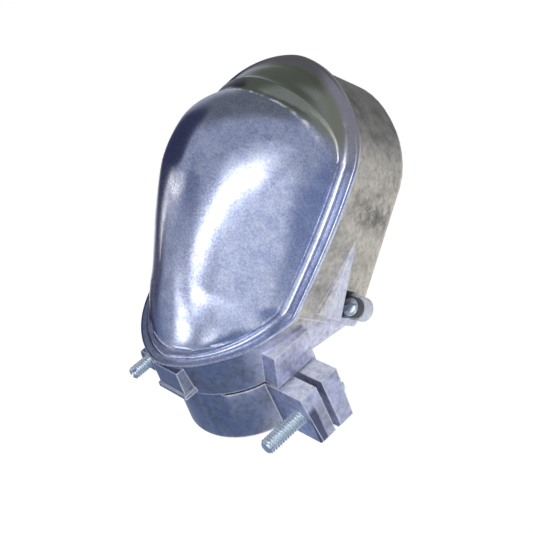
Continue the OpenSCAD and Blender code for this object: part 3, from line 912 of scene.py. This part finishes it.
class WEATHERHEAD_OT_stage(bpy.types.Operator):
    """Sets up the floor, the lamps, the world and the camera"""
    bl_idname = "weatherhead.stage"
    bl_label = "Stage"

    def execute(self, context):
        scene = context.scene
        scene.view_settings.view_transform = "Standard"
        self.world(scene)
        self.floor()
        self.lamps()
        self.cards()
        self.camera(scene)
        return {"FINISHED"}

    def seen_directly(self, nodes):
        """1 for a ray from the camera, or by way of gloss or glass."""
        path = nodes.tree.nodes.new("ShaderNodeLightPath").outputs
        return nodes.most(path["Is Camera Ray"], path["Is Glossy Ray"], path["Is Transmission Ray"])

    def world(self, scene):
        """White where it is seen, and a plain fill elsewhere."""
        world = bpy.data.worlds.new("white studio")
        world.use_nodes = True
        nodes = Nodes(world.node_tree)
        back = nodes.tree.nodes["Background"]
        back.inputs["Color"].default_value = (*WHITE, 1)
        nodes.put(back.inputs["Strength"], nodes.scaled(self.seen_directly(nodes), 1 - FILL, FILL))
        scene.world = world

    def floor(self):
        """A pale floor that keeps the object's shadow."""
        size, level = 3.0, -0.30
        mesh = bpy.data.meshes.new("floor")
        mesh.from_pydata([(x * size, y * size, level) for x, y in SQUARE], [], [(0, 1, 2, 3)])
        material = bpy.data.materials.new("pale floor")
        material.use_nodes = True
        nodes = Nodes(material.node_tree)
        shader = nodes.tree.nodes["Principled BSDF"]
        for name, value in (("Base Color", (0.8, 0.8, 0.8, 1)), ("Roughness", 0.9),
                            ("Specular IOR Level", 0.0), ("Emission Color", (*WHITE, 1)),
                            ("Emission Strength", nodes.times(self.seen_directly(nodes), 0.55))):
            nodes.put(shader.inputs[name], value)
        mesh.materials.append(material)
        floor = shown("floor", mesh)

    def lamp(self, name, place, size, power, colour):
        """A soft square lamp that faces the object and that gloss doesn't mirror."""
        data = bpy.data.lights.new(name, "AREA")
        data.shape = "RECTANGLE"
        data.size = data.size_y = size
        data.energy = power
        data.color = colour
        lamp = shown(name, data)
        lamp.location = place
        lamp.rotation_euler = (MIDDLE - Vector(place)).to_track_quat("-Z", "Y").to_euler()
        lamp.visible_glossy = False

    def lamps(self):
        """A key lamp from above and a wide fill lamp from the side, both on the camera's side."""
        self.lamp("key lamp", (-0.30, 0.30, 0.70), 0.30, 1.5, WHITE)
        self.lamp("fill lamp", (-0.8, 0.7, 0.25), 0.8, 1.5, (0.95, 0.97, 1.0))

    def glowing(self, name, mesh, colour, strength=1.0):
        """Gives a stage piece that only gloss mirrors its glow, and returns its nodes."""
        material = bpy.data.materials.new(name)
        material.use_nodes = True
        nodes = Nodes(material.node_tree)
        nodes.tree.nodes.clear()
        glow = nodes.tree.nodes.new("ShaderNodeEmission")
        glow.inputs["Color"].default_value = (*colour, 1)
        glow.inputs["Strength"].default_value = strength
        out = nodes.tree.nodes.new("ShaderNodeOutputMaterial")
        nodes.put(out.inputs["Surface"], glow.outputs[0])
        mesh.materials.append(material)
        thing = shown(name, mesh)
        thing.visible_camera = thing.visible_diffuse = thing.visible_shadow = False
        thing.visible_transmission = thing.visible_volume_scatter = False
        return thing, nodes, glow, out

    def card(self, name, azimuth, elevation, width, height, colour, strength, turn, distance, fade):
        """A panel given by angles from the object, which fades out at its edges."""
        away = facing(math.radians(azimuth), math.radians(elevation))
        w, h = (distance * math.tan(math.radians(angle / 2)) for angle in (width, height))
        mesh = bpy.data.meshes.new(name)
        mesh.from_pydata([(x * w, y * h, 0) for x, y in SQUARE], [], [(0, 1, 2, 3)])
        panel, nodes, glow, out = self.glowing(name, mesh, colour, strength)
        panel.location = MIDDLE + away * distance
        panel.rotation_euler = ((-away).to_track_quat("Z", "Y")
                                @ Quaternion((0, 0, 1), math.radians(turn))).to_euler()
        x, y, _ = nodes.split(nodes.tree.nodes.new("ShaderNodeTexCoord").outputs["Object"])
        inside = [nodes.spread(nodes.math("DIVIDE", nodes.unsigned(place), size), 1.0, 1.0 - fade)
                  for place, size in ((x, w), (y, h))]
        blend = nodes.tree.nodes.new("ShaderNodeMixShader")
        clear = nodes.tree.nodes.new("ShaderNodeBsdfTransparent")
        for socket, value in zip(blend.inputs, (nodes.times(*inside), clear.outputs[0],
                                                glow.outputs[0])):
            nodes.put(socket, value)
        nodes.put(out.inputs["Surface"], blend.outputs[0])

    def cards(self):
        """The tent and the panels out of the view, which bright metal mirrors as in a studio."""
        mesh = bpy.data.meshes.new("tent")
        bm = bmesh.new()
        bmesh.ops.create_uvsphere(bm, u_segments=48, v_segments=24, radius=1.3)
        bm.to_mesh(mesh)
        bm.free()
        self.glowing("tent", mesh, TENT)[0].location = MIDDLE
        for name, values in CARDS.items():
            self.card(name, *values)

    def camera(self, scene):
        """The camera, from the settings of the view."""
        view = scene.weatherhead_view
        back = facing(view.azimuth, view.elevation)
        right = Vector((math.cos(view.azimuth), math.sin(view.azimuth), 0))
        turn = (Matrix((right, back.cross(right), back)).transposed()
                @ Matrix.Rotation(-view.roll, 3, "Z"))
        data = bpy.data.cameras.new("camera")
        data.sensor_width = 36
        data.lens = view.lens
        data.clip_start = 0.01
        camera = shown("camera", data)
        camera.matrix_world = (Matrix.Translation(Vector(view.target) + back * view.distance)
                               @ turn.to_4x4())
        scene.camera = camera


class WEATHERHEAD_OT_cap(bpy.types.Operator):
    """Builds the domed cap with its brim, flange, tabs, hook and tongue"""
    bl_idname = "weatherhead.cap"
    bl_label = "Cap"

    def execute(self, context):
        sizes = context.scene.weatherhead_sizes
        finish = "cap tumbled aluminium"
        shell = add_piece("cap_shell", *cap_mesh(sizes), finish, "cap", BODY, 50)
        fixings = add_piece("cap_fixings", *cap_fixings(sizes), finish, "cap", BODY, 30)
        bevel(fixings, 0.0004, 30)
        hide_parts("cap")
        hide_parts("cap")
        return {"FINISHED"}


class WEATHERHEAD_OT_base(bpy.types.Operator):
    """Gives the base casting its skin and its softened edges"""
    bl_idname = "weatherhead.base"
    bl_label = "Base casting"

    def execute(self, context):
        dress_node("base_casting", "base casting skin", 0.0005, 28)
        return {"FINISHED"}


class WEATHERHEAD_OT_insulator(bpy.types.Operator):
    """Gives the insulator its moulded finish"""
    bl_idname = "weatherhead.insulator"
    bl_label = "Insulator"

    def execute(self, context):
        dress_node("insulator", "insulator moulding", 0.0003, 30)
        return {"FINISHED"}


class WEATHERHEAD_OT_clamp_screw(bpy.types.Operator):
    """Builds the threaded clamp screw"""
    bl_idname = "weatherhead.clamp_screw"
    bl_label = "Clamp screw"

    def execute(self, context):
        pitch = context.scene.weatherhead_sizes.thread_pitch
        low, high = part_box("clamp_screw")
        radius, depth, seat = 0.003175, 0.00062, -0.0087
        rings = turned([(0.0001, -0.0043), (0.0022, -0.00415), (0.0038, -0.0038), (0.0045, -0.0033),
                        (0.00475, -0.0028), (0.00475, -0.0002), (0.0046, 0.0), (0.0031, 0.0)])
        rings += thread_surface(radius, depth, pitch, 0.0006, high.y - seat, 0.0009)
        screw_piece("clamp_screw", "clamp_screw", middle_of(low, high, seat), ALONG_Y, rings,
                    -0.0042, (0.008, 0.0008, 0.0018), 0.6)
        return {"FINISHED"}


class WEATHERHEAD_OT_set_screw(bpy.types.Operator):
    """Builds the threaded set screw behind the cap"""
    bl_idname = "weatherhead.set_screw"
    bl_label = "Cap set screw"

    def execute(self, context):
        low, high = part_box("cap_set_screw")
        length = high.y - low.y
        radius, depth, pitch = 0.0025, 0.0005, 0.00106
        rings = turned([(0.0001, 0.0), (0.0016, 0.0), (0.0021, 0.0006)])
        rings += thread_surface(radius, depth, pitch, 0.0010, length, 0.0006)
        screw_piece("cap_set_screw", "set_screw", middle_of(low, high, low.y), ALONG_Y, rings,
                    length, (0.005, 0.0004, 0.0014), 0.9)
        return {"FINISHED"}


class WEATHERHEAD_OT_insulator_screws(bpy.types.Operator):
    """Builds the two pan-head screws that hold the insulator"""
    bl_idname = "weatherhead.insulator_screws"
    bl_label = "Insulator screws"

    def execute(self, context):
        out = (0, math.sin(HOOD_TILT), math.cos(HOOD_TILT))
        lug_x, lug_u, plate_top = 0.041068, 0.0085, -0.023
        radius, depth, pitch = 0.0021, 0.0004, 0.0008
        plate, lug, beyond = 0.003, 0.0046, 0.0016
        tip = -plate - lug - beyond
        rings = turned([(0.0001, tip), (0.0012, tip)])
        rings += thread_surface(radius, depth, pitch, tip + 0.0004, -0.0002, 0.0)
        rings += turned([(0.0021, 0.0), (0.0033, 0.0), (0.0035, 0.0003), (0.0035, 0.0009),
                         (0.0032, 0.0015), (0.0026, 0.0020), (0.0014, 0.0022), (0.0001, 0.00222)])
        for side, end in ((-1, "near"), (1, "far")):
            screw_piece(f"insulator_screw_{end}", f"{end}_screw",
                        hood_point(side * lug_x, lug_u, plate_top), out, rings,
                        0.0022, (0.005, 0.0005, 0.0011), 0.6)
        return {"FINISHED"}


class WEATHERHEAD_PT_panel(bpy.types.Panel):
    """Lists the weatherhead's pieces"""
    bl_idname = "WEATHERHEAD_PT_panel"
    bl_label = "Weatherhead"
    bl_space_type = "VIEW_3D"
    bl_region_type = "UI"
    bl_category = "Weatherhead"

    def draw(self, context):
        for operator in OPERATORS:
            self.layout.operator(operator.bl_idname)
        for group in (context.scene.weatherhead_sizes, context.scene.weatherhead_colours,
                      context.scene.weatherhead_view):
            box = self.layout.box()
            for name in group.__annotations__:
                box.prop(group, name)


GROUPS = (("weatherhead_sizes", WeatherheadSizes), ("weatherhead_colours", WeatherheadColours),
          ("weatherhead_view", WeatherheadView))
OPERATORS = (
    WEATHERHEAD_OT_stage, WEATHERHEAD_OT_cap, WEATHERHEAD_OT_base, WEATHERHEAD_OT_insulator,
    WEATHERHEAD_OT_clamp_screw, WEATHERHEAD_OT_set_screw, WEATHERHEAD_OT_insulator_screws)


def register():
    """Registers the classes and their settings."""
    for name, group in GROUPS:
        bpy.utils.register_class(group)
        setattr(bpy.types.Scene, name, PointerProperty(type=group))
    for cls in OPERATORS + (WEATHERHEAD_PT_panel,):
        bpy.utils.register_class(cls)


def unregister():
    """Removes the classes and their settings."""
    for cls in reversed(OPERATORS + (WEATHERHEAD_PT_panel,)):
        bpy.utils.unregister_class(cls)
    for name, group in reversed(GROUPS):
        delattr(bpy.types.Scene, name)
        bpy.utils.unregister_class(group)


def main():
    """Dresses the whole weatherhead."""
    register()
    bpy.ops.weatherhead.stage()
    bpy.ops.weatherhead.cap()
    bpy.ops.weatherhead.base()
    bpy.ops.weatherhead.insulator()
    bpy.ops.weatherhead.clamp_screw()
    bpy.ops.weatherhead.set_screw()
    bpy.ops.weatherhead.insulator_screws()


if __name__ == "__main__":
    main()
